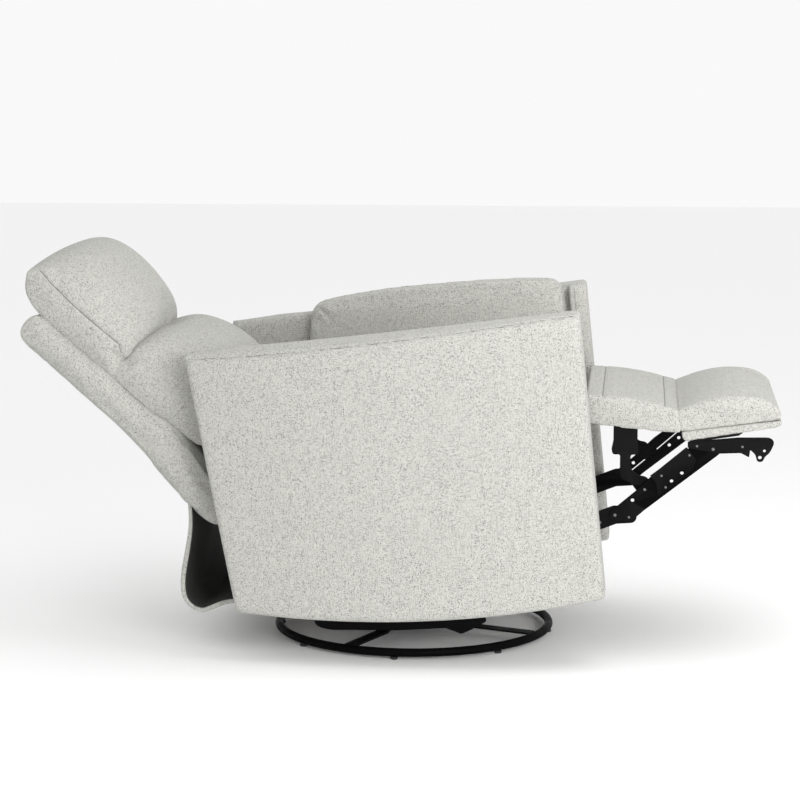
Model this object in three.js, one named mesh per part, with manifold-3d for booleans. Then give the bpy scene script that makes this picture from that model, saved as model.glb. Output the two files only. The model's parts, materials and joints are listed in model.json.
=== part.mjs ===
// Swivel glider recliner for a nursery: barrel body on a round swivel base, with the back laid down and the
// footrest out. Millimetres, +Z up, the sitter faces -Y. The finished group is moved along Y at the end, so
// that the origin is on the floor under the middle of its overall box.
// Side outlines are lists of [forward, up] or [forward, up, corner radius]; forward is -Y.

import * as THREE from "three";
import { mergeVertices } from "three/addons/utils/BufferGeometryUtils.js";
import Module from "manifold-3d";

const wasm = await Module();
wasm.setup();

// ---------------------------------------------------------------- driving dimensions
const GAP = 0.3; // between pieces that touch
const SEAT_HALF = 248; // half width of seat, back cushion and footrest pads
const ARM_HALF = 392; // half width over the arms, at the widest point
const ARM_IN = 262; // inner face of the arm box
const RECESS_IN = 292; // inner face of the arm above the seat, behind the arm cushion
const BASE_R = 295; // centre line of the floor ring
const RING_TUBE = 9.5; // radius of the ring's tube
const FOOT_H = 5;
const FOOT_R = 8;
const LEG_ANGLES = [-23, 67, 157, 247]; // degrees from straight ahead
const FOOT_COUNT = 8;
const FOOT_START = -93;
const SEAT_RAIL_Z = [434, 476];
const ORIGIN_Y = -10; // the middle of the overall box, measured from the swivel axis

// hinge centres, as [forward, up]
const GLIDE_TOP = 235; // height of the fixed glide pivots
const GLIDE_LENGTH = 120;
const GLIDE_F = 110; // the glide links hang this far before and behind the swivel axis
const BACK_PIVOT = [-235, 400];
const REAR_LINK = [219, 216]; // rear footrest link on the side plate
const KNEE = [440, 303]; // rear link to long link
const FRONT_LINK = [299.6, 285.8]; // front footrest link on the side plate
const FRONT_KNEE = [472, 297.9]; // front link beside the long link
const MID_PIVOT = [501, 358]; // mid bracket on the long link
const TOE_PIVOT = [640, 446]; // footrest bracket on the long link

// sheet steel layers, distance from the middle plane
const RAIL_X = [196, 204];
const GLIDE_X = [205, 209];
const PLATE_X = [218, 222];
const FRONT_LINK_X = [224, 227];
const REAR_LINK_X = [228.5, 232];
const LONG_LINK_X = [233.5, 237.5];
const DOUBLER_X = 240.5;
const TOE_X = [242, 246];

const PIN_R = 5.5;
const PIN_HOLE_R = 6;
const TOOL_HOLE_R = 3.8;
const SLIT_WIDTH = 2.4;

// ---------------------------------------------------------------- materials
const fabric = () => new THREE.MeshStandardMaterial({ color: 0xcdccc6, roughness: 0.95, metalness: 0 });
const lining = () => new THREE.MeshStandardMaterial({ color: 0xbdbcb6, roughness: 0.95, metalness: 0 });
const blackSteel = () => new THREE.MeshStandardMaterial({ color: 0x121212, roughness: 0.5, metalness: 0.6 });
const spring = () => new THREE.MeshStandardMaterial({ color: 0x6f7276, roughness: 0.4, metalness: 0.9 });
const wood = () => new THREE.MeshStandardMaterial({ color: 0xb08d5f, roughness: 0.8, metalness: 0 });
const plastic = () => new THREE.MeshStandardMaterial({ color: 0x1a1a1a, roughness: 0.6, metalness: 0 });

// ---------------------------------------------------------------- shape helpers
const SIDE_PLANE = new THREE.Matrix4().makeBasis(
  new THREE.Vector3(0, 1, 0),
  new THREE.Vector3(0, 0, 1),
  new THREE.Vector3(1, 0, 0),
);
const chair = new THREE.Group();

function add(name, geometry, material) {
  const mesh = new THREE.Mesh(geometry, material);
  mesh.name = name;
  chair.add(mesh);
  return mesh;
}

function toManifold(geometry) {
  const bare = geometry.clone();
  for (const name of Object.keys(bare.attributes)) {
    if (name !== "position") bare.deleteAttribute(name);
  }
  const merged = mergeVertices(bare, 1e-3);
  return new wasm.Manifold(
    new wasm.Mesh({
      numProp: 3,
      vertProperties: new Float32Array(merged.attributes.position.array),
      triVerts: new Uint32Array(merged.index.array),
    }),
  );
}

function fromManifold(solid) {
  const mesh = solid.getMesh();
  const geometry = new THREE.BufferGeometry();
  geometry.setAttribute("position", new THREE.BufferAttribute(new Float32Array(mesh.vertProperties), 3));
  geometry.setIndex(new THREE.BufferAttribute(new Uint32Array(mesh.triVerts), 1));
  geometry.computeVertexNormals();
  return geometry;
}

const join = (...parts) => fromManifold(parts.map(toManifold).reduce((a, b) => a.add(b)));

// A closed outline whose corners are rounded by the third number of each point.
function sideShape(points) {
  const shape = new THREE.Shape();
  const at = (i) => points[(i + points.length) % points.length];
  const towards = (a, b, distance) => {
    const length = Math.hypot(b[0] - a[0], b[1] - a[1]);
    const t = Math.min(distance / length, 0.48);
    return [a[0] + (b[0] - a[0]) * t, a[1] + (b[1] - a[1]) * t];
  };
  points.forEach((p, i) => {
    const r = p[2] ?? 0;
    const start = r ? towards(p, at(i - 1), r) : p;
    if (i === 0) shape.moveTo(-start[0], start[1]);
    else shape.lineTo(-start[0], start[1]);
    if (r) {
      const end = towards(p, at(i + 1), r);
      shape.quadraticCurveTo(-p[0], p[1], -end[0], end[1]);
    }
  });
  shape.closePath();
  return shape;
}

function hole([f, z], radius) {
  const path = new THREE.Path();
  path.absarc(-f, z, radius, 0, Math.PI * 2, true);
  return path;
}

// Extrudes a side outline from x0 to x1; round is the radius of its long edges.
function slab(shape, [x0, x1], { round = 0, holes = [], segments = 5 } = {}) {
  shape.holes.push(...holes);
  const depth = x1 - x0 - 2 * round;
  const geometry = new THREE.ExtrudeGeometry(shape, {
    depth,
    curveSegments: segments,
    bevelEnabled: round > 0,
    bevelThickness: round,
    bevelSize: round,
    bevelOffset: -round,
    bevelSegments: 3,
  });
  geometry.translate(0, 0, x0 + round);
  return geometry.applyMatrix4(SIDE_PLANE);
}

// A bar with round ends between two points.
function barShape([fa, za], [fb, zb], width) {
  const angle = Math.atan2(zb - za, -(fb - fa));
  const shape = new THREE.Shape();
  shape.absarc(-fa, za, width / 2, angle + Math.PI / 2, angle + (3 * Math.PI) / 2, false);
  shape.absarc(-fb, zb, width / 2, angle - Math.PI / 2, angle + Math.PI / 2, false);
  shape.closePath();
  return shape;
}

function pin([f, z], radius, [x0, x1], sides = 16) {
  const geometry = new THREE.CylinderGeometry(radius, radius, x1 - x0, sides);
  return geometry.rotateZ(-Math.PI / 2).translate((x0 + x1) / 2, -f, z);
}

function block([f0, f1], [x0, x1], [z0, z1]) {
  const geometry = new THREE.BoxGeometry(x1 - x0, f1 - f0, z1 - z0);
  return geometry.translate((x0 + x1) / 2, -(f0 + f1) / 2, (z0 + z1) / 2);
}

const both = (half) => [-half, half];
const mix = (a, b, t) => a + (b - a) * t;
const SIDES = { left: 1, right: -1 };

// Builds one piece for the sitter's left side (+X) and its mirror image for the right.
function pair(name, build, material) {
  for (const [side, sign] of Object.entries(SIDES)) {
    const mesh = add(`${name}_${side}`, build(side), material());
    mesh.scale.x = sign;
  }
}

// ---------------------------------------------------------------- floor base
function baseRing() {
  const z = FOOT_H + RING_TUBE;
  add("base_ring", new THREE.TorusGeometry(BASE_R, RING_TUBE, 10, 72).translate(0, 0, z), blackSteel());
}

const radial = (geometry, degrees) => geometry.rotateZ(THREE.MathUtils.degToRad(degrees));

function baseLegs() {
  const outer = BASE_R - RING_TUBE;
  const halfWidth = 14;
  const outline = [
    [outer, 17.5], [outer, 21.5], [142, 21.5, 8], [114, 46, 8], [88, 46], [88, 41.5], [111, 41.5, 8], [139, 17.5, 8],
  ];
  LEG_ANGLES.forEach((degrees, i) => {
    add(`base_leg_${i + 1}`, radial(slab(sideShape(outline), both(halfWidth)), degrees), blackSteel());
  });
}

function baseFeet() {
  for (let i = 0; i < FOOT_COUNT; i += 1) {
    const foot = new THREE.CylinderGeometry(FOOT_R, FOOT_R - 1, FOOT_H - GAP, 12).rotateX(Math.PI / 2);
    foot.translate(0, -BASE_R, (FOOT_H - GAP) / 2);
    add(`foot_${i + 1}`, radial(foot, FOOT_START + (360 / FOOT_COUNT) * i), plastic());
  }
}

function disc(name, radius, [z0, z1], material) {
  const geometry = new THREE.CylinderGeometry(radius, radius, z1 - z0, 40).rotateX(Math.PI / 2);
  add(name, geometry.translate(0, 0, (z0 + z1) / 2), material());
}

function swivelBearing() {
  disc("hub_plate", 120, [46.3, 51], blackSteel);
  const [r0, r1, z0, z1] = [72, 98, 51.3, 57.7];
  const profile = [[r0, z0], [r1, z0], [r1, z1], [r0, z1], [r0, z0]].map(([r, z]) => new THREE.Vector2(r, z));
  add("bearing_ring", new THREE.LatheGeometry(profile, 40).rotateX(Math.PI / 2), spring());
  disc("swivel_plate", 110, [58, 62.5], blackSteel);
}

// ---------------------------------------------------------------- glider base on the swivel plate
function gliderBase() {
  const [top, low, post] = [86, 38, 20];
  const outline = [
    [-197, 62, 8], [-197, top, 16], [-GLIDE_F - post, top, 8], [-GLIDE_F - post, GLIDE_TOP + post, post],
    [-GLIDE_F + post, GLIDE_TOP + post, post], [-GLIDE_F + post, top, 8], [GLIDE_F - post, top, 8],
    [GLIDE_F - post, GLIDE_TOP + post, post], [GLIDE_F + post, GLIDE_TOP + post, post],
    [GLIDE_F + post, top, 8],
    [160, top, 12], [173, 64, 6], [140, 45], [132, 41], [118, 35, 5], [103, 41], [84, 47], [-16, 40],
    [-165, low, 14], [-191, 46, 8],
  ];
  const rail = () => {
    const holes = [hole([GLIDE_F, GLIDE_TOP], PIN_HOLE_R), hole([-GLIDE_F, GLIDE_TOP], PIN_HOLE_R)];
    return slab(sideShape(outline), RAIL_X, { holes });
  };
  pair("glider_rail", rail, blackSteel);
  const reach = RAIL_X[0] - GAP;
  add("cross_channel_front", block([55, 90], both(reach), [62.8, 84]), blackSteel());
  add("cross_channel_rear", block([-90, -55], both(reach), [62.8, 84]), blackSteel());
}

function glideLinks() {
  const link = (f) => () => {
    const [top, low] = [[f, GLIDE_TOP], [f, GLIDE_TOP - GLIDE_LENGTH]];
    return join(
      slab(barShape(top, low, 30), GLIDE_X, { segments: 12 }),
      pin(top, PIN_R, [RAIL_X[0] - 2, GLIDE_X[0] + 1]),
    );
  };
  pair("glide_link_front", link(GLIDE_F), blackSteel);
  pair("glide_link_rear", link(-GLIDE_F), blackSteel);
}

// ---------------------------------------------------------------- chair body
const DRIVE_TUBE_R = 9;

function sidePlates() {
  const low = GLIDE_TOP - GLIDE_LENGTH;
  const outline = [
    [-262, SEAT_RAIL_Z[1], 24], [300, SEAT_RAIL_Z[1], 14], [304, 380, 20], [330, 320, 24], [330, 252, 24],
    [240, 180, 30], [GLIDE_F + 24, low + 30, 10],
    [GLIDE_F + 24, low - 20, 20], [GLIDE_F - 24, low - 20, 20], [GLIDE_F - 24, 190, 20],
    [-GLIDE_F + 24, 190, 20], [-GLIDE_F + 24, low - 20, 20], [-GLIDE_F - 24, low - 20, 20],
    [-GLIDE_F - 24, 250, 20], [-262, 372, 24],
  ];
  const plate = () => {
    const holes = [
      hole(FRONT_LINK, PIN_HOLE_R), hole(REAR_LINK, DRIVE_TUBE_R + 0.6), hole(BACK_PIVOT, PIN_HOLE_R),
    ];
    const stud = (f) => pin([f, low], PIN_R, [GLIDE_X[1] + 0.6, PLATE_X[0] + 1]);
    return join(slab(sideShape(outline), PLATE_X, { holes }), stud(GLIDE_F), stud(-GLIDE_F));
  };
  pair("side_plate", plate, blackSteel);
}

function seatFrame() {
  const reach = PLATE_X[0] - GAP;
  add("seat_front_rail", block([268, 294], both(reach), SEAT_RAIL_Z), wood());
  add("seat_rear_rail", block([-165, -139], both(reach), SEAT_RAIL_Z), wood());
  [-130, 0, 130].forEach((x, i) => add(`seat_spring_${i + 1}`, seatSpring(x), spring()));
}

// A sinuous spring: a wire that snakes from the rear rail to the front rail.
function seatSpring(x) {
  const [start, end, waves, swing, wire] = [-160, 290, 7, 24, 2];
  const points = [];
  const count = waves * 4;
  for (let i = 0; i <= count; i += 1) {
    const sway = Math.sin((i * Math.PI) / 2) * swing;
    const forward = mix(start, end, i / count);
    points.push(new THREE.Vector3(x + sway, -forward, SEAT_RAIL_Z[1] + GAP + wire));
  }
  const section = new THREE.Shape();
  section.absarc(0, 0, wire, 0, Math.PI * 2, false);
  const extrudePath = new THREE.CatmullRomCurve3(points);
  const settings = { steps: count * 2, curveSegments: 3, extrudePath, bevelEnabled: false };
  return new THREE.ExtrudeGeometry(section, settings);
}

function seatCushion() {
  const outline = [
    [-172, 482], [-172, 520, 24], [60, 530, 60], [300, 556, 60], [376, 552, 36], [376, 514], [348, 482],
  ];
  add("seat_cushion", slab(sideShape(outline), both(SEAT_HALF), { round: 14 }), fabric());
}

// The arm is a loft between its rear edge and its front edge; u runs from 0 at the rear to 1 at the front.
const ARM = {
  rear: { low: [-341, 104], high: [-447, 632] },
  front: { low: [424, 150], high: [364, 738] },
  hemDrop: 27,
  crownRise: 22,
};
const POST_START = 0.95; // the solid front post of the arm
const bump = (t) => 4 * t * (1 - t);

function armOuterX(f) {
  const behind = Math.max(0, 100 - f) / 550;
  const ahead = Math.max(0, f - 100) / 330;
  return ARM_HALF - 60 * behind ** 2.2 - 26 * ahead ** 2.2;
}

function armForward(u, z) {
  const edge = ({ low, high }) => mix(low[0], high[0], (z - low[1]) / (high[1] - low[1]));
  return mix(edge(ARM.rear), edge(ARM.front), u);
}

const armHem = (u) => mix(ARM.rear.low[1], ARM.front.low[1], u) - ARM.hemDrop * bump(u);
const armCrease = (u) => mix(ARM.rear.high[1], ARM.front.high[1], u ** 1.25) - 2;

function armSection(u) {
  const hem = armHem(u);
  const crease = armCrease(u);
  const crown = crease + ARM.crownRise * (1 - u) ** 0.5;
  const post = u > POST_START;
  const innerHigh = post ? ARM_IN : RECESS_IN;
  const point = (z, inset, inner) => {
    const f = armForward(u, z);
    const x = inner ?? armOuterX(f) - inset;
    return new THREE.Vector3(x, -f, z);
  };
  const outer = [0, 0.3, 0.65, 1].map((t) => point(mix(hem + 8, crease - 10, t), 0));
  const outerX = outer.at(-1).x;
  const width = outerX - innerHigh;
  const ledge = 474;
  return [
    point(hem, 8),
    ...outer,
    point(crease + 2, 6),
    point(crown, 0, outerX - width * 0.5),
    point(crown - 6, 0, innerHigh + 6),
    point(crown - 22, 0, innerHigh),
    point(ledge, 0, innerHigh),
    point(ledge - 1, 0, ARM_IN),
    point(hem + 6, 0, ARM_IN),
    point(hem, 0, ARM_IN + 6),
  ];
}

// Skins a list of equal closed sections and caps both ends.
function loft(sections) {
  const count = sections[0].length;
  const positions = sections.flat().flatMap((p) => [p.x, p.y, p.z]);
  const index = [];
  for (let s = 0; s + 1 < sections.length; s += 1) {
    for (let k = 0; k < count; k += 1) {
      const [a, b] = [s * count + k, s * count + ((k + 1) % count)];
      index.push(a, b, b + count, a, b + count, a + count);
    }
  }
  const cap = (section, offset, flip) => {
    const flat = section.map((p) => new THREE.Vector2(p.x, p.z));
    for (const [a, b, c] of THREE.ShapeUtils.triangulateShape(flat, [])) {
      index.push(offset + a, offset + (flip ? c : b), offset + (flip ? b : c));
    }
  };
  cap(sections[0], 0, true);
  cap(sections.at(-1), (sections.length - 1) * count, false);
  const geometry = new THREE.BufferGeometry();
  geometry.setAttribute("position", new THREE.Float32BufferAttribute(positions, 3));
  geometry.setIndex(index);
  geometry.computeVertexNormals();
  return geometry;
}

function arms() {
  const stations = [
    0, 0.012, 0.08, 0.16, 0.26, 0.36, 0.46, 0.56, 0.66, 0.76, 0.86, POST_START, POST_START + 0.002, 0.985, 1,
  ];
  pair("arm", () => loft(stations.map(armSection)), fabric);
}

function armCushions() {
  const outline = [
    [-273, 478, 18], [-273, 662, 34], [-100, 706, 60], [120, 742, 90], [250, 749, 60], [319, 742, 44],
    [321, 478, 18],
  ];
  pair("arm_cushion", () => slab(sideShape(outline), [254, RECESS_IN - 1], { round: 12 }), fabric);
}

// ---------------------------------------------------------------- back rest
// Positions on the upper back: u up along the outer panel from its bend, n out of it towards the sitter.
const BACK_BEND = [-572, 462];
const BACK_UP = [-0.754, 0.657];
const onBack = (u, n, r) => [
  BACK_BEND[0] + BACK_UP[0] * u + BACK_UP[1] * n,
  BACK_BEND[1] + BACK_UP[1] * u - BACK_UP[0] * n,
  r,
];
const SHELL_HALF = 256;
const LOWER_BACK_HALF = 214;

function backShell() {
  const outline = [
    onBack(312, 0, 16), onBack(318, 56, 16), onBack(0, 60, 30), [-402, 362, 30], [-352, 306, 14],
    [-389, 269, 12], [-453, 319, 30], [...BACK_BEND, 40],
  ];
  add("back_shell", slab(sideShape(outline), both(SHELL_HALF), { round: 8 }), fabric());
}

function backCushion() {
  const lumbar = [
    onBack(108, 63), onBack(110, 206, 40), onBack(62, 252, 40), onBack(-10, 268, 50), [-262, 500, 40],
    [-300, 440], [-438, 428], onBack(2, 63),
  ];
  const lower = [
    [-440, 430], [-396, 364], [-350, 315], [-262, 358], [-212, 388, 24], [-226, 452, 24], [-300, 540],
  ];
  const upper = slab(sideShape(lumbar), both(SEAT_HALF), { round: 14 });
  const tongue = slab(sideShape(lower), both(LOWER_BACK_HALF), { round: 8 });
  add("back_cushion", join(upper, tongue), fabric());
}

function headrest() {
  const outline = [
    onBack(118, 66), onBack(112, 206, 60), onBack(205, 238, 60), onBack(290, 236, 60), onBack(352, 208, 50),
    onBack(376, 130, 50), onBack(366, 84), onBack(324, 62),
  ];
  add("headrest_pillow", slab(sideShape(outline), both(SEAT_HALF - 3), { round: 30 }), fabric());
}

// Steel arms that carry the back on the side plates.
function backBrackets() {
  const x = [PLATE_X[1] + 1, PLATE_X[1] + 4.5];
  const tip = [-400.6, 390.2];
  const bracket = () => join(
    slab(barShape(BACK_PIVOT, tip, 38), x, { segments: 10 }),
    pin(BACK_PIVOT, PIN_R, [PLATE_X[0] - 1.5, x[0] + 1]),
  );
  pair("back_bracket", bracket, blackSteel);
}

// The loose outside-back panel below the back: it hangs slack in a deep fold while the back is down.
function backFlap() {
  const half = 6; // half of its thickness
  const steps = 22;
  const route = [
    [-454, 306], [-457, 230], [-465, 150], [-459, 106], [-432, 87], [-398, 97], [-360, 105], [-300, 106],
  ];
  const line = new THREE.CatmullRomCurve3(route.map(([f, z]) => new THREE.Vector3(-f, z, 0)));
  const face = (offset) => Array.from({ length: steps + 1 }, (_, i) => {
    const tangent = line.getTangentAt(i / steps);
    const point = line.getPointAt(i / steps);
    return new THREE.Vector2(point.x - tangent.y * offset, point.y + tangent.x * offset);
  });
  const shape = new THREE.Shape([...face(half), ...face(-half).reverse()]);
  add("back_flap", slab(shape, both(SHELL_HALF - 4)), lining());
}

// ---------------------------------------------------------------- footrest linkage
function rearLinks() {
  const bar = () => barShape(REAR_LINK, KNEE, 38);
  const link = () => slab(bar(), REAR_LINK_X, { holes: [hole(KNEE, PIN_HOLE_R)], segments: 10 });
  pair("rear_link", link, blackSteel);
  add("drive_tube", pin(REAR_LINK, DRIVE_TUBE_R, both(REAR_LINK_X[0] - GAP), 20), blackSteel());
}

function frontLinks() {
  const link = () => join(
    slab(barShape(FRONT_LINK, FRONT_KNEE, 26), FRONT_LINK_X, { segments: 10 }),
    pin(FRONT_LINK, PIN_R, [PLATE_X[0] - 1.5, FRONT_LINK_X[0] + 1]),
  );
  pair("front_link", link, blackSteel);
}

// A narrow straight slot between two points of a side outline.
function slit([fa, za], [fb, zb], width) {
  const length = Math.hypot(fb - fa, zb - za);
  const df = ((zb - za) / length) * (width / 2);
  const dz = ((fb - fa) / length) * (width / 2);
  const corners = [[fa - df, za + dz], [fa + df, za - dz], [fb + df, zb - dz], [fb - df, zb + dz]];
  const path = new THREE.Path();
  path.setFromPoints(corners.map(([f, z]) => new THREE.Vector2(-f, z)));
  path.closePath();
  return path;
}

// The left link shows two slots; on the right one a stiffening plate lies over them.
function longLinks() {
  const plate = [
    [428, 294, 10], [430, 310, 8], [484, 356, 6], [520, 392, 6], [612, 462, 8], [642, 466, 18],
    [660, 448, 18], [655, 436, 8], [500, 314, 4], [473, 290, 8], [450, 291, 6],
  ];
  const doubler = [
    [524, 372], [512, 388], [528, 400, 4], [586, 449, 3], [606, 424, 3], [600, 403, 3], [528, 344, 3],
  ];
  const plateHoles = () => [hole([556, 377], TOOL_HOLE_R), hole([577, 394], TOOL_HOLE_R)];
  const slots = () => [slit([528, 367], [580, 413], SLIT_WIDTH), slit([471, 317], [505, 346], SLIT_WIDTH)];
  const link = (side) => {
    const holes = [
      ...plateHoles(), hole([476, 335], TOOL_HOLE_R), hole(MID_PIVOT, PIN_HOLE_R),
      hole(TOE_PIVOT, PIN_HOLE_R),
    ];
    const cover = slab(sideShape(doubler), [LONG_LINK_X[1] - 0.2, DOUBLER_X], { holes: plateHoles() });
    return join(
      slab(sideShape(plate), LONG_LINK_X, { holes: side === "left" ? [...holes, ...slots()] : holes }),
      pin(KNEE, PIN_R, [REAR_LINK_X[0] - 0.5, LONG_LINK_X[0] + 1]),
      ...(side === "right" ? [cover] : []),
    );
  };
  pair("long_link", link, blackSteel);
}

function midBrackets() {
  const outline = [
    [435, 497.7], [485, 493.4], [485, 464], [487, 430, 5], [471, 430, 5], [471, 400, 6], [490, 386, 6],
    [502, 385, 6], [514, 374, 8], [514, 350, 12], [501, 342, 12], [484, 354, 8], [472, 371, 5],
    [452, 379, 6], [449, 404, 6], [449, 430, 4], [434, 430, 5], [431, 441, 5], [435, 460],
  ];
  const flange = [[435, 494.7], [435, 497.7], [485, 493.4], [485, 490.4]];
  const bracket = () => join(
    slab(sideShape(outline), REAR_LINK_X),
    slab(sideShape(flange), [200, REAR_LINK_X[1] - 1]),
    pin(MID_PIVOT, PIN_R, [REAR_LINK_X[1] - 1, LONG_LINK_X[1] + 0.6]),
  );
  pair("mid_bracket", bracket, blackSteel);
}

function chaisePad() {
  const outline = [[378, 503, 18], [381, 553, 18], [430, 554, 30], [500, 546, 40], [563, 525], [569, 486.5]];
  add("chaise_pad", slab(sideShape(outline), both(SEAT_HALF), { round: 10 }), fabric());
}

function footrest() {
  const bracketOutline = [
    [588, 448, 3], [588, 461], [690, 471], [757, 472, 9], [766, 462, 9], [756, 440, 6], [746, 432, 6],
    [742, 421, 9], [730, 421, 9], [727, 436, 6], [716, 446, 3], [714, 430, 3], [697, 439, 4], [652, 437, 6],
  ];
  const holes = [hole([736, 430], TOOL_HOLE_R), hole([745, 444], TOOL_HOLE_R - 0.8)];
  const wedge = [[592, 459.5], [592, 462], [700, 480.6], [692, 475]];
  const bracket = () => join(
    slab(sideShape(bracketOutline), TOE_X, { holes }),
    slab(sideShape(wedge), [214, TOE_X[1]]),
    pin(TOE_PIVOT, PIN_R, [LONG_LINK_X[0] - 0.5, TOE_X[0] + 1]),
  );
  pair("footrest_bracket", bracket, blackSteel);
  const board = [[584, 461], [771, 493.5], [779, 507], [578, 480]];
  add("footrest_board", slab(sideShape(board), both(SEAT_HALF - 2), { round: 3 }), fabric());
  const pad = [
    [574, 482.5], [774, 509.5], [782, 518], [766, 542, 20], [700, 556, 40], [640, 550, 40], [567, 526],
  ];
  add("foot_pad", slab(sideShape(pad), both(SEAT_HALF), { round: 10 }), fabric());
}

// ---------------------------------------------------------------- footrest release inside the right arm
function releaseTab() {
  const x = [-(SEAT_HALF + 11.5), -(SEAT_HALF + 4.5)];
  const tab = slab(sideShape([[342, 452], [342, 505, 10], [368, 505, 10], [368, 452]]), x, {
    holes: [hole([355, 487], 8)],
  });
  add("release_tab", tab, plastic());
}

baseRing();
baseLegs();
baseFeet();
swivelBearing();
gliderBase();
glideLinks();
sidePlates();
seatFrame();
seatCushion();
arms();
armCushions();
backShell();
backCushion();
headrest();
backBrackets();
backFlap();
rearLinks();
frontLinks();
longLinks();
midBrackets();
chaisePad();
footrest();
releaseTab();
chair.position.y = ORIGIN_Y;

export default chair;
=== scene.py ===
"""Looks of the swivel glider recliner: padded covers, seams, painted steel, studio light and camera.

Outlines are in millimetres in the side view, as (forward, up) from the swivel axis at floor level.
"""

import json
import math

import bmesh
import bpy
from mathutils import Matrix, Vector
from mathutils.bvhtree import BVHTree
from mathutils.kdtree import KDTree


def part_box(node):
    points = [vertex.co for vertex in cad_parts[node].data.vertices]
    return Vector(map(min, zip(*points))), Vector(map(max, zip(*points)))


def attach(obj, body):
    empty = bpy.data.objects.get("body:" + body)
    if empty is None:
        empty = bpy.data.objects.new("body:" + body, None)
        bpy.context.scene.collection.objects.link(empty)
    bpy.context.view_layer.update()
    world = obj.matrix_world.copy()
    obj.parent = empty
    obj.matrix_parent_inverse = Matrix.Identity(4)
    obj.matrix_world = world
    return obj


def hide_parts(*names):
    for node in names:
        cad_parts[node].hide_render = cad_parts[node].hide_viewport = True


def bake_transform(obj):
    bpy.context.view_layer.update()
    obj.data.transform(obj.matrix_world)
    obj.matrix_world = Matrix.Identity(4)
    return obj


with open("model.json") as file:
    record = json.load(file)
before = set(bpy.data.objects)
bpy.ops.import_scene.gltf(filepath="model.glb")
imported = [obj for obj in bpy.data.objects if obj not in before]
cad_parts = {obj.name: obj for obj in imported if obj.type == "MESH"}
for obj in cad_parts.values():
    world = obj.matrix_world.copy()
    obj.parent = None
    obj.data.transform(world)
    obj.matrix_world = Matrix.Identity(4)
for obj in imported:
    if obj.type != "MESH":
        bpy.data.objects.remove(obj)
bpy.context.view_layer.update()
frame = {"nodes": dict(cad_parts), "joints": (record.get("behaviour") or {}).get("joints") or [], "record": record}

MM = 0.001
JOINTS = {joint["name"]: joint for joint in frame["joints"]}
SWIVEL_Y = JOINTS["swivel"]["pos_m"][1]
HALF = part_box("seat_cushion")[1].x / MM  # half width of the seat
SIDES = {"left": 1, "right": -1}

VOXEL = 0.0055
ARM_VOXEL = 0.005
ARM_CUSHION_VOXEL = 0.0055
BOARD_VOXEL = 0.004
SIM_FRAMES = 18
CURVE_STEP = 9.0
FLAP_STEP = 8.0
SEAM_STEP = 4.0
CORD_SIDES = 6
CORD_SINK = 0.75  # how deep a sewn cord lies, as a share of its groove


def at(x, forward, up):
    """A point of the side view as a position in the row frame."""
    return Vector((x * MM, SWIVEL_Y - forward * MM, up * MM))


def side_view(co):
    """The (forward, up) of a position, in millimetres."""
    return (SWIVEL_Y - co.y) / MM, co.z / MM


def mix(a, b, t):
    """The value a share t of the way from a to b."""
    return a + (b - a) * t


def clamped(value):
    """value kept between 0 and 1."""
    return min(1.0, max(0.0, value))


def edge_weight(distance, reach):
    """1 at distance 0, falling to 0 at reach."""
    return clamped(1.0 - distance / reach)


# ---------------------------------------------------------------- materials
MIX_A = 6  # the colour sockets of a Mix node
MIX_B = 7
MIX_RESULT = 2


class Nodes:
    """Short names for building a node material."""

    def __init__(self, name):
        self.material = bpy.data.materials.new(name)
        self.material.use_nodes = True
        self.tree = self.material.node_tree
        self.shader = self.tree.nodes["Principled BSDF"]
        self.coords = self.add("ShaderNodeTexCoord").outputs["Object"]

    def add(self, kind, **settings):
        node = self.tree.nodes.new(kind)
        for key, value in settings.items():
            setattr(node, key, value)
        return node

    def feed(self, socket, value):
        if isinstance(value, bpy.types.NodeSocket):
            self.tree.links.new(value, socket)
        else:
            socket.default_value = value

    def noise(self, scale, detail=2.0, stretch=(1, 1, 1), rough=0.5):
        mapping = self.add("ShaderNodeMapping")
        mapping.inputs["Scale"].default_value = [scale * s for s in stretch]
        self.feed(mapping.inputs["Vector"], self.coords)
        noise = self.add("ShaderNodeTexNoise")
        self.feed(noise.inputs["Vector"], mapping.outputs["Vector"])
        noise.inputs["Scale"].default_value = 1.0
        noise.inputs["Detail"].default_value = detail
        noise.inputs["Roughness"].default_value = rough
        return noise.outputs["Fac"]

    def ramp(self, value, low, high, out_low=0.0, out_high=1.0):
        node = self.add("ShaderNodeMapRange")
        self.feed(node.inputs["Value"], value)
        limits = {"From Min": low, "From Max": high, "To Min": out_low, "To Max": out_high}
        for key, number in limits.items():
            node.inputs[key].default_value = number
        return node.outputs["Result"]

    def math(self, operation, a, b):
        node = self.add("ShaderNodeMath", operation=operation)
        self.feed(node.inputs[0], a)
        self.feed(node.inputs[1], b)
        return node.outputs[0]

    def mix(self, factor, a, b):
        node = self.add("ShaderNodeMix", data_type="RGBA")
        self.feed(node.inputs["Factor"], factor)
        self.feed(node.inputs[MIX_A], a)
        self.feed(node.inputs[MIX_B], b)
        return node.outputs[MIX_RESULT]

    def bump(self, height, distance, strength):
        node = self.add("ShaderNodeBump")
        self.feed(node.inputs["Height"], height)
        node.inputs["Distance"].default_value = distance
        node.inputs["Strength"].default_value = strength
        self.feed(self.shader.inputs["Normal"], node.outputs["Normal"])

    def set(self, **values):
        for key, value in values.items():
            self.feed(self.shader.inputs[key.replace("_", " ").title().replace("Ior", "IOR")], value)
        return self.material


def tinted(colour, factor, lift=0.0):
    """The colour made darker or brighter by factor and then raised by lift."""
    return [factor * c + lift for c in colour[:3]] + [1]


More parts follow.
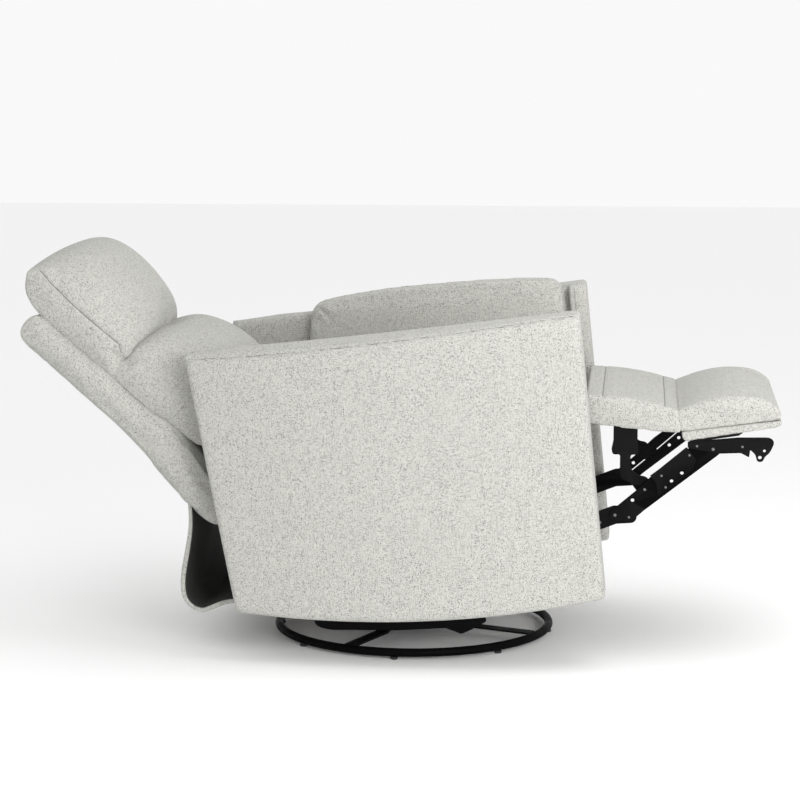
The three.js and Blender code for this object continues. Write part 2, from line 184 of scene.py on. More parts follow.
def tweed(name, light, dark, flecks=1.0, sheen=0.1):
    """Woven tweed: a pale ground with dark flecks, slubs along warp and weft, and a fine raised weave."""
    threads = 560
    slub = 0.14
    n = Nodes(name)
    fleck = n.noise(620, detail=1, rough=0.6)
    fine = n.noise(1100, detail=1)
    warp = n.noise(threads, stretch=(1, 1, slub))
    weft = n.noise(threads, stretch=(1, slub, 1))
    cloud = n.noise(16, detail=3)
    spots = n.ramp(fleck, 0.34, 0.43, flecks, 0.0)
    warp_lines = n.ramp(warp, 0.3, 0.45, 0.4 * flecks, 0.0)
    weft_lines = n.ramp(weft, 0.3, 0.45, 0.4 * flecks, 0.0)
    shade = n.math("MAXIMUM", spots, n.math("MAXIMUM", warp_lines, weft_lines))
    ground = n.mix(n.ramp(cloud, 0.3, 0.7), tinted(light, 0.95), light)
    grain = n.mix(n.ramp(fine, 0.35, 0.65), tinted(light, 0.86), ground)
    n.feed(n.shader.inputs["Base Color"], n.mix(shade, grain, dark))
    weave = n.math("ADD", n.math("MULTIPLY", warp, weft), n.math("MULTIPLY", fine, 0.5))
    n.bump(weave, distance=0.0012, strength=0.6)
    return n.set(roughness=0.93, sheen_weight=sheen, sheen_roughness=0.45, specular_ior_level=0.2)


def coated_steel(name, colour, rough=0.42):
    """Powder coat: nearly even colour, fine orange peel, and slightly paler worn edges."""
    n = Nodes(name)
    peel = n.noise(900, detail=1)
    dust = n.noise(35, detail=4)
    edge = n.ramp(n.add("ShaderNodeNewGeometry").outputs["Pointiness"], 0.52, 0.6)
    worn = n.mix(edge, colour, tinted(colour, 2.5, lift=0.004))
    dusty = n.mix(n.ramp(dust, 0.5, 0.8, 0.0, 0.3), worn, tinted(colour, 1, lift=0.006))
    n.feed(n.shader.inputs["Base Color"], dusty)
    n.feed(n.shader.inputs["Roughness"], n.ramp(dust, 0.3, 0.7, rough - 0.06, rough + 0.1))
    n.bump(peel, distance=0.0002, strength=0.4)
    return n.set(specular_ior_level=0.02)


def bare_metal(name, colour):
    """Drawn wire: fine marks along its length that change both colour and shine."""
    n = Nodes(name)
    brushed = n.noise(500, stretch=(1, 0.05, 1))
    n.feed(n.shader.inputs["Base Color"], n.mix(brushed, tinted(colour, 0.8), colour))
    n.feed(n.shader.inputs["Roughness"], n.ramp(brushed, 0.2, 0.8, 0.25, 0.45))
    n.bump(brushed, distance=0.0001, strength=0.3)
    return n.set(metallic=0.9)


def sawn_wood(name, pale, brown):
    """Plain timber with its grain across the chair."""
    n = Nodes(name)
    grain = n.noise(90, detail=5, stretch=(0.06, 1, 1), rough=0.6)
    n.feed(n.shader.inputs["Base Color"], n.mix(n.ramp(grain, 0.3, 0.7), pale, brown))
    n.bump(grain, distance=0.0006, strength=0.5)
    return n.set(roughness=0.75)


def moulded(name, colour):
    """Moulded plastic with a fine texture."""
    n = Nodes(name)
    grain = n.noise(1200, detail=2)
    n.feed(n.shader.inputs["Base Color"], n.mix(n.noise(60), colour, tinted(colour, 1.3)))
    n.bump(grain, distance=0.0003, strength=0.5)
    return n.set(roughness=0.55)


FABRIC = tweed("tweed", (0.50, 0.497, 0.465, 1), (0.055, 0.054, 0.05, 1))
SEAM = tweed("tweed_seam", (0.25, 0.248, 0.232, 1), (0.04, 0.04, 0.036, 1))
LINING = tweed("dark_lining", (0.05, 0.05, 0.048, 1), (0.012, 0.012, 0.012, 1), flecks=0.7, sheen=0.0)
STEEL = coated_steel("black_powder_coat", (0.0018, 0.0018, 0.002, 1))
RIVET = coated_steel("rivet_heads", (0.09, 0.09, 0.095, 1), rough=0.3)
BARE = bare_metal("spring_wire", (0.42, 0.43, 0.44, 1))
WOOD = sawn_wood("sawn_rail", (0.62, 0.46, 0.28, 1), (0.42, 0.28, 0.15, 1))
PLASTIC = moulded("black_plastic", (0.013, 0.013, 0.013, 1))
NODE_MATERIALS = {"black_steel": STEEL, "spring_steel": BARE, "wood": WOOD, "plastic": PLASTIC}
COVER = [FABRIC, SEAM]
FLAP_COVER = [FABRIC, LINING]
SECOND = 1  # index of the second material of either list


# ---------------------------------------------------------------- lines
def corner(forward, up):
    """A point that closed_curve keeps sharp."""
    return forward, up, True


def is_corner(point):
    return len(point) > 2


def hermite(a, leave, b, arrive, t):
    """The point at t on the cubic from a to b with these tangents at its ends."""
    h1 = 2 * t**3 - 3 * t**2 + 1
    h2 = t**3 - 2 * t**2 + t
    h3 = -2 * t**3 + 3 * t**2
    h4 = t**3 - t**2
    return a * h1 + leave * h2 + b * h3 + arrive * h4


def closed_curve(points):
    """A closed smooth line through points of (forward, up), as vectors about CURVE_STEP apart."""
    out = []
    count = len(points)
    for i in range(count):
        before, start, end, after = (points[(i + k) % count] for k in (-1, 0, 1, 2))
        a = Vector(start[:2])
        b = Vector(end[:2])
        chord = b - a
        leave = chord if is_corner(start) else (b - Vector(before[:2])) / 2
        arrive = chord if is_corner(end) else (Vector(after[:2]) - a) / 2
        leave = leave.normalized() * min(leave.length, chord.length)
        arrive = arrive.normalized() * min(arrive.length, chord.length)
        pieces = max(2, round(chord.length / CURVE_STEP))
        out += [hermite(a, leave, b, arrive, k / pieces) for k in range(pieces)]
    return out


def open_curve(points, step):
    """A smooth open line through points, as vectors about step apart."""
    out = []
    last = len(points) - 1
    for i in range(last):
        before, a, b, after = (Vector(points[min(max(i + k, 0), last)]) for k in (-1, 0, 1, 2))
        pieces = max(1, round((b - a).length / step))
        out += [hermite(a, (b - before) / 2, b, (after - a) / 2, k / pieces) for k in range(pieces)]
    return out + [Vector(points[-1])]


def direction(points, i):
    """The way an open line of vectors runs at point i, not normalised."""
    return points[min(i + 1, len(points) - 1)] - points[max(i - 1, 0)]


def spread(points):
    """Positions about SEAM_STEP apart along a polyline of (x, forward, up)."""
    out = []
    for a, b in zip(points, points[1:]):
        start = at(*a)
        end = at(*b)
        pieces = max(1, round((end - start).length / (SEAM_STEP * MM)))
        out += [start.lerp(end, k / pieces) for k in range(pieces)]
    return out + [at(*points[-1])]


# ---------------------------------------------------------------- meshes
def new_object(name, vertices, faces, materials):
    mesh = bpy.data.meshes.new(name)
    mesh.from_pydata([tuple(v) for v in vertices], [], faces)
    mesh.validate()
    obj = bpy.data.objects.new(name, mesh)
    bpy.context.scene.collection.objects.link(obj)
    for material in materials:
        mesh.materials.append(material)
    bm = bmesh.new()
    bm.from_mesh(mesh)
    bmesh.ops.recalc_face_normals(bm, faces=bm.faces)
    bm.to_mesh(mesh)
    bm.free()
    mesh.shade_smooth()
    return obj


def prism(name, outline, x0, x1):
    """A cover with an outline of (forward, up) stretched across the chair from x0 to x1."""
    curve = closed_curve(outline)
    count = len(curve)
    vertices = [at(x, f, z) for x in (x0, x1) for f, z in curve]
    faces = loft_faces(2, count)
    faces += [tuple(range(count)), tuple(reversed(range(count, 2 * count)))]
    return new_object(name, vertices, faces, COVER)


def loft_faces(rings, sides, closed=False):
    """Quads that join rings of points, in a row or, if closed, in a loop."""
    faces = []
    for i in range(rings if closed else rings - 1):
        near = i * sides
        far = (i + 1) % rings * sides
        for k in range(sides):
            m = (k + 1) % sides
            faces.append((near + k, near + m, far + m, far + k))
    return faces


def merge(obj, other):
    """Moves the other object's mesh into obj."""
    bm = bmesh.new()
    bm.from_mesh(obj.data)
    bm.from_mesh(other.data)
    bm.to_mesh(obj.data)
    bm.free()
    bpy.data.objects.remove(other)


def apply_modifiers(obj):
    bpy.context.view_layer.update()
    graph = bpy.context.evaluated_depsgraph_get()
    mesh = bpy.data.meshes.new_from_object(obj.evaluated_get(graph))
    obj.modifiers.clear()
    old = obj.data
    obj.data = mesh
    bpy.data.meshes.remove(old)
    mesh.shade_smooth()


def remesh(obj, voxel=VOXEL):
    """Makes an even mesh of the object's shape, with voxels of so many metres."""
    modifier = obj.modifiers.new("remesh", "REMESH")
    modifier.mode = "VOXEL"
    modifier.voxel_size = voxel
    modifier.use_smooth_shade = True
    apply_modifiers(obj)


def relax(obj, rounds):
    """Rounds the edges off by smoothing."""
    modifier = obj.modifiers.new("relax", "SMOOTH")
    modifier.factor = 0.5
    modifier.iterations = rounds
    apply_modifiers(obj)


def refine(obj):
    """Divides every face once."""
    modifier = obj.modifiers.new("refine", "SUBSURF")
    modifier.levels = 1
    modifier.render_levels = 1
    apply_modifiers(obj)


def move_points(obj, rule):
    """rule(x, forward, up) in millimetres gives each point's new place in the same terms."""
    for vertex in obj.data.vertices:
        f, z = side_view(vertex.co)
        vertex.co = at(*rule(vertex.co.x / MM, f, z))
    obj.data.update()


# ---------------------------------------------------------------- stuffing and seams
def pin(obj, pinned):
    """Writes pinned(x, forward, up) to the object's pin group."""
    group = obj.vertex_groups.new(name="pin")
    for vertex in obj.data.vertices:
        f, z = side_view(vertex.co)
        weight = pinned(vertex.co.x / MM, f, z)
        if weight > 0:
            group.add([vertex.index], weight, "REPLACE")


def run_cloth(obj, pressure):
    """Simulates the cover as cloth with air pressure inside and keeps its last shape."""
    cloth = obj.modifiers.new("cloth", "CLOTH")
    settings = cloth.settings
    settings.quality = 5
    settings.mass = 0.3
    settings.tension_stiffness = 18
    settings.compression_stiffness = 12
    settings.shear_stiffness = 6
    settings.bending_stiffness = 1.5
    settings.use_pressure = True
    settings.uniform_pressure_force = pressure
    settings.vertex_group_mass = "pin"
    settings.effector_weights.gravity = 0
    cloth.point_cache.frame_end = SIM_FRAMES
    scene = bpy.context.scene
    for number in range(1, SIM_FRAMES + 1):
        scene.frame_set(number)
    apply_modifiers(obj)
    scene.frame_set(1)
    obj.vertex_groups.clear()


def inflate(obj, cap, pinned, pressure=4.0):
    """Blows the cover up like a stuffed cushion, by at most cap millimetres.

    pinned(x, forward, up) is 1 where it is sewn down or lies on something.
    """
    rest = [v.co.copy() for v in obj.data.vertices]
    pin(obj, pinned)
    run_cloth(obj, pressure)
    for vertex, start in zip(obj.data.vertices, rest):
        moved = vertex.co - start
        if moved.length > cap * MM:
            vertex.co = start + moved.normalized() * cap * MM
    obj.data.update()


def seam(obj, points, depth=2.2, width=7.0, thread=1.1):
    """Sinks a groove along a line on the cover and lays a fine sewn cord in it, in the same mesh."""
    mesh = obj.data
    tree = BVHTree.FromPolygons([v.co for v in mesh.vertices], [p.vertices for p in mesh.polygons])
    hits = [tree.find_nearest(p) for p in spread(points)]
    line = [hit[0] for hit in hits]
    normals = [hit[1] for hit in hits]
    near = KDTree(len(line))
    for i, p in enumerate(line):
        near.insert(p, i)
    near.balance()
    reach = width * MM
    for vertex in mesh.vertices:
        _, i, distance = near.find(vertex.co)
        if distance < reach:
            fall = (1 - distance / reach) ** 2
            vertex.co -= normals[i] * depth * MM * fall
    if thread:
        add_cord(obj, [p - n * (depth * CORD_SINK) * MM for p, n in zip(line, normals)], thread * MM)
    mesh.update()


def add_cord(obj, centres, radius):
    """Adds a closed round cord of the seam's material along centres to the object's mesh."""
    bm = bmesh.new()
    bm.from_mesh(obj.data)
    turns = [2 * math.pi * k / CORD_SIDES for k in range(CORD_SIDES)]
    rings = []
    for i, centre in enumerate(centres):
        ahead = direction(centres, i).normalized()
        if rings:
            across = (across - ahead * across.dot(ahead)).normalized()
        else:
            across = ahead.orthogonal().normalized()
        up = ahead.cross(across)
        offsets = [(across * math.cos(t) + up * math.sin(t)) * radius for t in turns]
        rings.append([bm.verts.new(centre + offset) for offset in offsets])
    for a, b in zip(rings, rings[1:]):
        for k in range(CORD_SIDES):
            m = (k + 1) % CORD_SIDES
            face = bm.faces.new((a[k], a[m], b[m], b[k]))
            face.material_index = SECOND
            face.smooth = True
    for ring in (list(reversed(rings[0])), rings[-1]):
        bm.faces.new(ring).material_index = SECOND
    bm.to_mesh(obj.data)
    bm.free()


def finish_pad(obj, body, node):
    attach(obj, body)
    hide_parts(node)


# ---------------------------------------------------------------- seat and footrest pads
def seat_cushion():
    outline = [corner(-176, 486), (-184, 510), (-60, 522), (80, 532), (220, 547), (330, 556), (368, 540),
               (372, 512), corner(350, 486)]
    underside = 494
    highest = 571
    pad = prism("seat_cushion_cover", outline, -HALF + 3, HALF - 3)
    remesh(pad)
    relax(pad, 10)
    inflate(pad, 14, lambda x, f, z: 1.0 if z < underside else 0.0)
    move_points(pad, lambda x, f, z: (x, f, min(z, highest)))
    refine(pad)
    for sign in SIDES.values():
        edge = sign * (HALF - 10)
        seam(pad, [(edge, -150, 520), (edge, 80, 534), (edge, 340, 552)])
    finish_pad(pad, "chair", "seat_cushion")


def chaise_pad():
    """The middle pad between the seat and the footrest, pinned at its underside and its two ends."""
    outline = [corner(376, 503), corner(378, 556), (440, 553), (500, 544), corner(569, 527),
               corner(576, 484), (480, 492)]
    pad = prism("chaise_pad_cover", outline, -HALF + 4, HALF - 4)
    remesh(pad)
    relax(pad, 4)
    inflate(pad, 6, lambda x, f, z: 1.0 if z < chaise_underside(f) or f > 556 or f < 392 else 0.0)
    move_points(pad, side_lip)
    refine(pad)
    for f, z in ((412, 556), (541, 536)):
        seam(pad, [(x, f, z) for x in (-HALF + 9, 0, HALF - 9)])
    finish_pad(pad, "chaise", "chaise_pad")


def chaise_underside(f):
    return 503 - (f - 378) * 0.08


def side_lip(x, f, z):
    """Lets the lower edge of the pad's side panels hang a little below the brackets' flanges."""
    hang = 8
    side = clamped((abs(x) - 233) / 5)
    near_bottom = clamped((chaise_underside(f) + 16 - z) / 16)
    return x, f, z - hang * side * near_bottom


def foot_pad():
    """The pad on the board, pinned at its sloping underside and its end next to the middle pad."""
    outline = [corner(570, 479), corner(563, 525), (600, 539), (640, 550), (690, 557), (735, 554),
               (764, 542), (779, 522), corner(778, 508), (680, 494)]
    pad = prism("foot_pad_cover", outline, -HALF + 4, HALF - 4)
    remesh(pad)
    relax(pad, 5)
    inflate(pad, 8, lambda x, f, z: 1.0 if z < 494 + (f - 574) * 0.135 or f < 580 else 0.0)
    refine(pad)
    finish_pad(pad, "footrest", "foot_pad")


def footrest_board():
    outline = [corner(583, 461), (771, 493), (780, 499), (779, 507), corner(575, 481), (576, 470)]
    board = prism("footrest_board_cover", outline, -HALF + 3, HALF - 3)
    remesh(board, BOARD_VOXEL)
    relax(board, 3)
    finish_pad(board, "footrest", "footrest_board")


# ---------------------------------------------------------------- back rest
BEND = Vector((-572, 462))
UP = Vector((-0.754, 0.657))
OUT = Vector((0.657, 0.754))
SHELL_FACE = 58  # how far out of BEND the cushions are sewn to the shell


def on_back(along, out):
    """A point of the back: along its upper panel from the bend, and out of it towards the sitter."""
    return tuple(BEND + UP * along + OUT * out)


def out_of_back(f, z):
    """How far a point of the side view stands out of the upper panel."""
    return (Vector((f, z)) - BEND).dot(OUT)


def back_shell():
    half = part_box("back_shell")[1].x / MM
    outline = [on_back(312, -5), on_back(326, 20), on_back(316, 54), on_back(150, 62), on_back(20, 60),
               (-484, 479), (-402, 366), (-356, 310), (-393, 267), (-457, 314), (-522, 388), (-577, 455),
               (-696, 561)]
    shell = prism("back_shell_cover", outline, -half + 2, half - 2)
    remesh(shell)
    relax(shell, 7)
    inflate(shell, 6, lambda x, f, z: 0.0, pressure=2.5)
    refine(shell)
    for sign in SIDES.values():
        edge = sign * (half - 1)
        seam(shell, [(edge, -478, 473), (edge, -466, 462), (edge, -446, 450)], depth=4, thread=0, width=10)
    finish_pad(shell, "back", "back_shell")


def back_cushion():
    """The lumbar swell, with a narrower tongue below it that runs down between the seat and the shell."""
    lumbar = [corner(*on_back(126, SHELL_FACE)), on_back(126, 84), on_back(118, 112), on_back(110, 180),
              on_back(88, 218), on_back(44, 240), on_back(-14, 251), (-337, 581), (-270, 501), (-296, 462),
              (-366, 446), corner(-432, 434), corner(*on_back(4, SHELL_FACE))]
    tongue = [corner(-436, 430), (-394, 368), (-350, 320), (-260, 364), (-207, 396), (-216, 450),
              (-300, 536)]
    tongue_half = HALF - 40
    tongue_top = 440
    pad = prism("back_cushion_cover", lumbar, -HALF + 5, HALF - 5)
    merge(pad, prism("back_tongue", tongue, -tongue_half, tongue_half))
    remesh(pad)
    relax(pad, 7)
    move_points(pad, crowned(44))
    inflate(pad, 9, lambda x, f, z: sewn_to_shell(f, z, 12) if z > tongue_top else 0.5)
    refine(pad)
    finish_pad(pad, "back", "back_cushion")


def sewn_to_shell(f, z, reach):
    """1 on the shell's face, falling to 0 at reach from it."""
    return edge_weight(abs(out_of_back(f, z) - SHELL_FACE), reach)


def crowned(drop):
    """A rule that lets the face of a back cushion fall away by drop towards the chair's sides."""
    power = 3.2

    def rule(x, f, z):
        share = clamped((out_of_back(f, z) - 96) / 120)
        fall = drop * share * abs(x / HALF) ** power
        return x, f - OUT.x * fall, z - OUT.y * fall

    return rule


def headrest_pillow():
    outline = [corner(*on_back(104, SHELL_FACE)), on_back(101, 84), on_back(112, 112), on_back(112, 150),
               on_back(117, 186), on_back(148, 214), on_back(222, 231), on_back(290, 232),
               on_back(341, 217), on_back(373, 184), on_back(388, 145), on_back(388, 108),
               on_back(367, 74), on_back(312, 57)]
    side_line = [(371, 132), (338, 126), (270, 122), (190, 122), (144, 124), (128, 112)]
    half = HALF - 4
    pad = prism("headrest_cover", outline, -half, half)
    remesh(pad)
    relax(pad, 7)
    move_points(pad, crowned(78))
    relax(pad, 4)
    inflate(pad, 9, lambda x, f, z: sewn_to_shell(f, z, 10))
    refine(pad)
    for sign in SIDES.values():
        seam(pad, [(sign * half, *on_back(along, out)) for along, out in side_line], depth=3)
    finish_pad(pad, "back", "headrest_pillow")


# ---------------------------------------------------------------- back flap
FLAP_LINE = [(-453, 322), (-452, 268), (-458, 216), (-464, 172), (-466, 138), (-461, 110), (-446, 93),
             (-428, 87), (-408, 93), (-380, 103), (-345, 107), (-300, 108)]
FLAP_COLUMNS = 29
FLAP_THIN = 10.0  # thickness at the back
FLAP_THICK = 13.0  # thickness in the fold
FLAP_WAVE = 3.0
INSIDE_FOLD = (-380, 200)


def back_flap():
    """The outside-back panel, slack in a fold below the back."""
    points = open_curve(FLAP_LINE, FLAP_STEP)
    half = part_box("back_flap")[1].x / MM - 1
    vertices = flap_layer(points, half, -0.5) + flap_layer(points, half, 0.5)
    flap = new_object("back_flap_cover", vertices, sheet_faces(len(points), FLAP_COLUMNS), FLAP_COVER)
    line_inside(flap)
    refine(flap)
    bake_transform(flap)
    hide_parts("back_flap")


def flap_layer(points, half, face):
    """Rows of positions along the fold, so much of the thickness away from it, with slack waves."""
    rows = len(points)
    layer = []
    for i, p in enumerate(points):
        thickness = mix(FLAP_THIN, FLAP_THICK, min(1.0, 3 * i / rows))
        ahead = direction(points, i)
        normal = Vector((-ahead.y, ahead.x)).normalized()
        for k in range(FLAP_COLUMNS):
            across = 2 * k / (FLAP_COLUMNS - 1) - 1
            wave = FLAP_WAVE * math.sin(5.1 * across + i * 0.13) * math.sin(math.pi * i / (rows - 1))
            q = p + normal * (thickness * face + wave)
            layer.append(at(across * half, q.x, q.y))
    return layer


def sheet_faces(rows, columns):
    """Faces of a sheet of two layers of points: the layers themselves and the rim between them."""
    layer = rows * columns
    faces = []
    for i in range(rows - 1):
        for k in range(columns - 1):
            a = i * columns + k
            quad = (a, a + 1, a + columns + 1, a + columns)
            faces += [quad, tuple(v + layer for v in reversed(quad))]
    rim = list(range(columns))
    rim += [i * columns + columns - 1 for i in range(1, rows)]
    rim += [(rows - 1) * columns + k for k in range(columns - 2, -1, -1)]
    rim += [i * columns for i in range(rows - 2, 0, -1)]
    faces += [(b, a, a + layer, b + layer) for a, b in zip(rim, rim[1:] + rim[:1])]
    return faces


def line_inside(flap):
    """Gives the lining to the faces that look into the fold."""
    inside = at(0, *INSIDE_FOLD).yz
    for polygon in flap.data.polygons:
        facing = polygon.normal.yz.dot(inside - polygon.center.yz)
        if abs(polygon.normal.x) < 0.5 and facing > 0:
            polygon.material_index = SECOND


# ---------------------------------------------------------------- arms
ARM_IN = 262  # inner face of the arm below the seat and of its front post
RECESS_IN = 292  # inner face behind the arm cushion
ARM_OUT = 391  # outer face where the arms are widest
WIDEST = 100  # where that is
BARREL = 2.2  # how suddenly the outer face curves inwards
ARM_MIDDLE = 323.5  # between the inner and outer faces
POST_START = 0.95  # share of the arm's length where its front post begins
HEM = (104, 150)  # heights of the lower edge at the rear and at the front
CREASE = (632, 738)  # heights of the seam below the crown at the rear and at the front
REAR_EDGE = (-341, -447)  # where the arm begins at the hem and at the crease
FRONT_EDGE = (424, 364)  # where it ends at the hem and at the crease
SEAT_LINE = 476  # where the recess for the arm cushion begins
END_SHARE = 0.012  # share of the arm's length over which its ends are rounded
END_ROUND = 9.0


def arm_outer(f):
    """Half width over the arms, drawn in towards the rear and the front like a barrel."""
    to_rear = max(0.0, WIDEST - f) / 550
    to_front = max(0.0, f - WIDEST) / 330
    return ARM_OUT - 60 * to_rear**BARREL - 26 * to_front**BARREL


def arm_point(u, z, inset=0.0, x=None):
    """A point at share u of the arm's length and height z: at x, or set in from the outer face."""
    rear = mix(*REAR_EDGE, (z - HEM[0]) / (CREASE[0] - HEM[0]))
    front = mix(*FRONT_EDGE, (z - HEM[1]) / (CREASE[1] - HEM[1]))
    f = mix(rear, front, u)
    return (arm_outer(f) - inset if x is None else x, f, z)


def crease_height(u):
    return mix(*CREASE, u**1.25)


def arm_ring(u):
    """The arm's cross-section at u, from the outer hem over the crown to the inner hem."""
    hem = mix(*HEM, u) - 27 * 4 * u * (1 - u)
    crease = crease_height(u) - 3
    crown = crease + 22 * (1 - u) ** 0.5 * min(1.0, 0.55 + 3 * u)
    return outer_panel(u, hem, crease) + crown_panel(u, crease, crown) + inner_panel(u, hem, crown)


def outer_panel(u, hem, crease):
    """From the hem up the outer face, which swells a little, and into the crease."""
    swell = -1.5
    points = [arm_point(u, hem, 14), arm_point(u, hem + 3, 3)]
    for k in range(13):
        t = k / 12
        points.append(arm_point(u, mix(hem + 12, crease - 14, t), swell * math.sin(math.pi * t)))
    groove = [(-5, 0.5), (1, 3.5), (4, 9)]
    return points + [arm_point(u, crease + up, inset) for up, inset in groove]


def inner_face(u):
    return ARM_IN if u > POST_START else RECESS_IN


def crown_panel(u, crease, crown):
    """From the crease over the rounded top to the inner face."""
    inner = inner_face(u)
    outer = arm_point(u, crease + 4, 9)[0]
    points = []
    for t in (0.25, 0.5, 0.75):
        z = mix(crease + 5, crown, math.sin(t * math.pi / 2))
        points.append(arm_point(u, z, x=mix(outer, inner + 8, t)))
    return points + [arm_point(u, crown - 3, x=inner + 7), arm_point(u, crown - 12, x=inner + 1)]


def inner_panel(u, hem, crown):
    """Down the inner face, out at the seat and down to the hem."""
    inner = inner_face(u)
    points = [arm_point(u, mix(crown - 12, SEAT_LINE, t), x=inner) for t in (0.15, 0.4, 0.7)]
    points += [arm_point(u, SEAT_LINE + 1, x=inner), arm_point(u, SEAT_LINE - 5, x=ARM_IN)]
    points += [arm_point(u, mix(SEAT_LINE - 5, hem, t), x=ARM_IN) for t in (0.33, 0.66)]
    return points + [arm_point(u, hem + 6, x=ARM_IN), arm_point(u, hem, x=ARM_IN + 6)]


def rounded_ring(u, sign):
    """Positions of the cross-section at u, drawn in at the two ends of the arm to round them."""
    share = min(u, 1 - u, END_SHARE) / END_SHARE
    drawn = END_ROUND * (1 - math.sqrt(1 - (1 - share) ** 2))
    return [at(sign * (x + (drawn if x < ARM_MIDDLE else -drawn)), f, z) for x, f, z in arm_ring(u)]


def arm_stations():
    """The shares of the arm's length that have a cross-section, closest at the ends and at the post."""
    even = [mix(0.04, 0.93, k / 40) for k in range(41)]
    post = [POST_START, POST_START + 0.003]
    return [0.0, 0.004, 0.012, 0.025] + even + post + [0.965, 0.978, 0.988, 0.996, 1.0]


def arm(side, sign):
    rings = [rounded_ring(u, sign) for u in arm_stations()]
    sides = len(rings[0])
    vertices = [v for ring in rings for v in ring]
    faces = loft_faces(len(rings), sides)
    faces += [tuple(range(sides)), tuple(range(len(vertices) - sides, len(vertices)))]
    cover = new_object(f"arm_cover_{side}", vertices, faces, COVER)
    remesh(cover, ARM_VOXEL)
    relax(cover, 4)
    crease = [arm_point(u, crease_height(u) + 1, 6) for u in [0.01 + 0.098 * k for k in range(11)]]
    seam(cover, [(sign * x, f, z) for x, f, z in crease], depth=4.5, width=10, thread=0.7)
    post = [arm_point(0.967, z, x=ARM_IN + 1) for z in (500, 620, 735)]
    seam(cover, [(sign * x, f, z) for x, f, z in post], depth=1.6, thread=0.8)
    finish_pad(cover, "chair", f"arm_{side}")


def arm_cushion(side, sign):
    """The pad on the inside of the arm; the left one stands prouder of the arm than the right one."""
    rise = 30 if sign > 0 else -14
    outline = [corner(322, 482), corner(-262, 482), (-262, 650 + rise * 0.2), (-240, 672 + rise * 0.6),
               (-100, 690 + rise), (40, 706 + rise), (160, 716 + rise), (250, 719 + rise),
               (302, 716 + rise * 0.9), (320, 690)]
    pad = prism(f"arm_cushion_cover_{side}", outline, sign * 258, sign * (RECESS_IN - 2))
    remesh(pad, ARM_CUSHION_VOXEL)
    relax(pad, 5)
    against_arm = 284
    beside_seat = 540
    inflate(pad, 5, lambda x, f, z: 1.0 if abs(x) > against_arm or z < beside_seat else 0.0)
    refine(pad)
    finish_pad(pad, "chair", f"arm_cushion_{side}")


# ---------------------------------------------------------------- steel
RIVET_HEIGHT = 1.2
RIVET_ROWS = 5
RIVET_SIDES = 20
PLATE_RIVETS = [(535, 388), (544, 364), (592, 432)]
PLATE_RIVET_RADIUS = 2.6


def floor_ring():
    """The base ring, rounder than the CAD's."""
    low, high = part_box("base_ring")
    tube = (high.z - low.z) / 2
    major = high.x - tube
    turns = 144
    sides = 20
    centre = Vector(((low.x + high.x) / 2, (low.y + high.y) / 2, low.z + tube))
    vertices = []
    for i in range(turns):
        a = 2 * math.pi * i / turns
        for k in range(sides):
            b = 2 * math.pi * k / sides
            r = major + tube * math.cos(b)
            vertices.append(centre + Vector((r * math.cos(a), r * math.sin(a), tube * math.sin(b))))
    ring = new_object("floor_ring", vertices, loft_faces(turns, sides, closed=True), [STEEL])
    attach(ring, "base")
    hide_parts("base_ring")


def rivet(name, body, x, forward, up, radius):
    """A domed rivet head standing out from x, away from the chair's middle."""
    height = math.copysign(RIVET_HEIGHT, x)
    vertices = []
    for i in range(RIVET_ROWS):
        rise = i / RIVET_ROWS * math.pi / 2
        reach = radius * math.cos(rise)
        for k in range(RIVET_SIDES):
            a = 2 * math.pi * k / RIVET_SIDES
            f = forward + reach * math.cos(a)
            z = up + reach * math.sin(a)
            vertices.append(at(x + height * math.sin(rise), f, z))
    tip = len(vertices)
    vertices.append(at(x + height, forward, up))
    top_row = list(range(tip - RIVET_SIDES, tip))
    faces = [tuple(range(RIVET_SIDES))] + loft_faces(RIVET_ROWS, RIVET_SIDES)
    faces += [(a, b, tip) for a, b in zip(top_row, top_row[1:] + top_row[:1])]
    head = new_object(name, vertices, faces, [RIVET])
    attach(head, body)


def rivets():
    """Rivet heads at the pivots on both sides, and those of the stiffening plate on the right link only."""
    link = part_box("long_link_left")[1].x / MM
    plate = -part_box("long_link_right")[0].x / MM
    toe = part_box("footrest_bracket_left")[1].x / MM
    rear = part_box("rear_link_left")[1].x / MM
    pivots = [  # body, x, forward, up, radius
        ("long_links", link, 440, 303, 3.4),
        ("long_links", link, 501, 358, 3.4),
        ("long_links", link, 469, 299, 2.6),
        ("footrest", toe, 640, 446, 3.4),
        ("footrest", toe, 607, 452, 2.6),
        ("footrest", toe, 700, 452, 2.6),
        ("rear_links", rear, 409, 286, 3.0),
    ]
    for index, (body, x, f, z, radius) in enumerate(pivots):
        for side, sign in SIDES.items():
            rivet(f"rivet_{index + 1}_{side}", body, sign * x, f, z, radius)
    for index, (f, z) in enumerate(PLATE_RIVETS):
        rivet(f"plate_rivet_{index + 1}", "long_links", -plate, f, z, PLATE_RIVET_RADIUS)


def dress_steel():
    """Better materials for the CAD nodes that stay, and eased edges for all of them but the springs."""
    slots = {entry["node"]: entry["material_slot"] for entry in frame["record"]["subparts"]}
    for name, obj in frame["nodes"].items():
        material = NODE_MATERIALS.get(slots[name])
        if material is None:
            continue
        obj.data.materials.clear()
        obj.data.materials.append(material)
        if slots[name] != "spring_steel":
            bevel = obj.modifiers.new("eased_edges", "BEVEL")
            bevel.width = 0.0008
            bevel.segments = 2
            bevel.limit_method = "ANGLE"


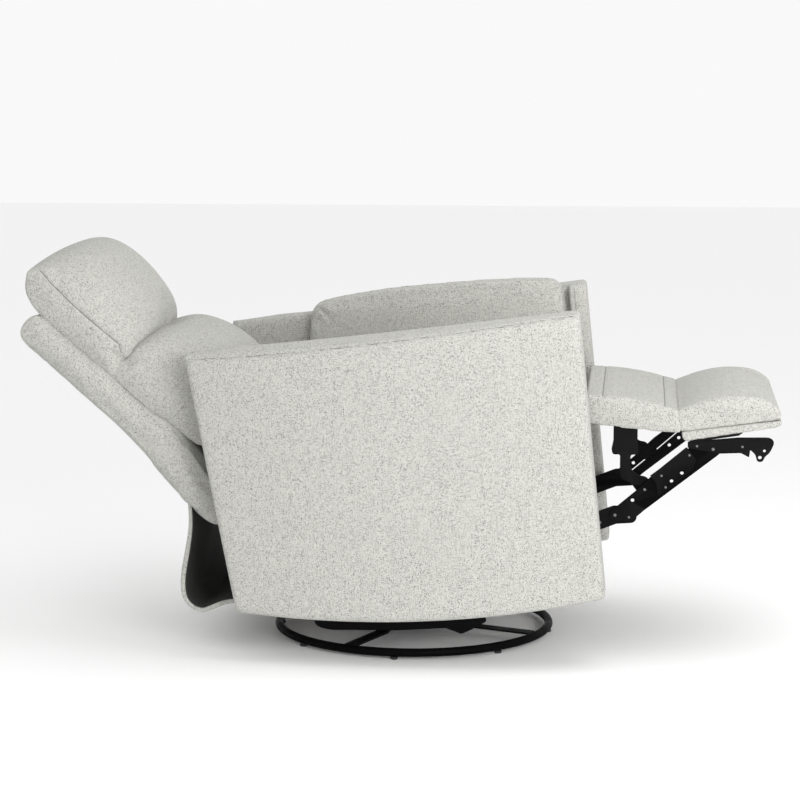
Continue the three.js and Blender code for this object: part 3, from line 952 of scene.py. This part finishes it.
# ---------------------------------------------------------------- stage
FLOOR_HALF = 14.0
FLOOR_COLOUR = (0.93, 0.93, 0.93, 1)
WHITE = (1, 1, 1, 1)
WORLD_STRENGTH = 0.95
LAMPS = [  # name, position, watts, width
    ("key", (-3.3, -1.75, 1.0), 92, 2.0),
    ("top", (-0.4, -0.8, 1.8), 9, 1.2),
]
LAMP_AIM = Vector((0, 0, 0.45))
CAMERA_PLACE = (-5.5, -0.486 + SWIVEL_Y, 1.293)
CAMERA_YAW = math.radians(5.37)
CAMERA_PITCH = math.radians(8.12)
CAMERA_LENS = 115.4
CAMERA_SENSOR = 36


def aim(obj, way):
    """Turns a lamp or a camera to look along way, upright."""
    obj.rotation_euler = way.to_track_quat("-Z", "Y").to_euler()


def stage():
    corners = [(-1, -1, 0), (1, -1, 0), (1, 1, 0), (-1, 1, 0)]
    vertices = [Vector(c) * FLOOR_HALF for c in corners]
    paper = Nodes("floor").set(base_color=FLOOR_COLOUR, roughness=0.9)
    new_object("floor", vertices, [(0, 1, 2, 3)], [paper])
    world = bpy.data.worlds.new("studio")
    world.use_nodes = True
    background = world.node_tree.nodes["Background"]
    background.inputs["Color"].default_value = WHITE
    background.inputs["Strength"].default_value = WORLD_STRENGTH
    bpy.context.scene.world = world


def lamps():
    for name, position, energy, width in LAMPS:
        light = bpy.data.lights.new(name, "AREA")
        light.energy = energy
        light.size = width
        lamp = bpy.data.objects.new(name, light)
        lamp.location = position
        lamp.visible_camera = False
        aim(lamp, LAMP_AIM - Vector(position))
        bpy.context.scene.collection.objects.link(lamp)


def camera():
    data = bpy.data.cameras.new("camera")
    data.lens = CAMERA_LENS
    data.sensor_width = CAMERA_SENSOR
    obj = bpy.data.objects.new("camera", data)
    obj.location = CAMERA_PLACE
    level = math.cos(CAMERA_PITCH)
    way = (math.cos(CAMERA_YAW) * level, math.sin(CAMERA_YAW) * level, -math.sin(CAMERA_PITCH))
    aim(obj, Vector(way))
    bpy.context.scene.collection.objects.link(obj)
    bpy.context.scene.camera = obj
    bpy.context.scene.view_settings.view_transform = "Standard"


stage()
lamps()
camera()
dress_steel()
floor_ring()
rivets()
seat_cushion()
chaise_pad()
foot_pad()
footrest_board()
back_shell()
back_cushion()
headrest_pillow()
back_flap()
for side_name, side_sign in SIDES.items():
    arm(side_name, side_sign)
    arm_cushion(side_name, side_sign)
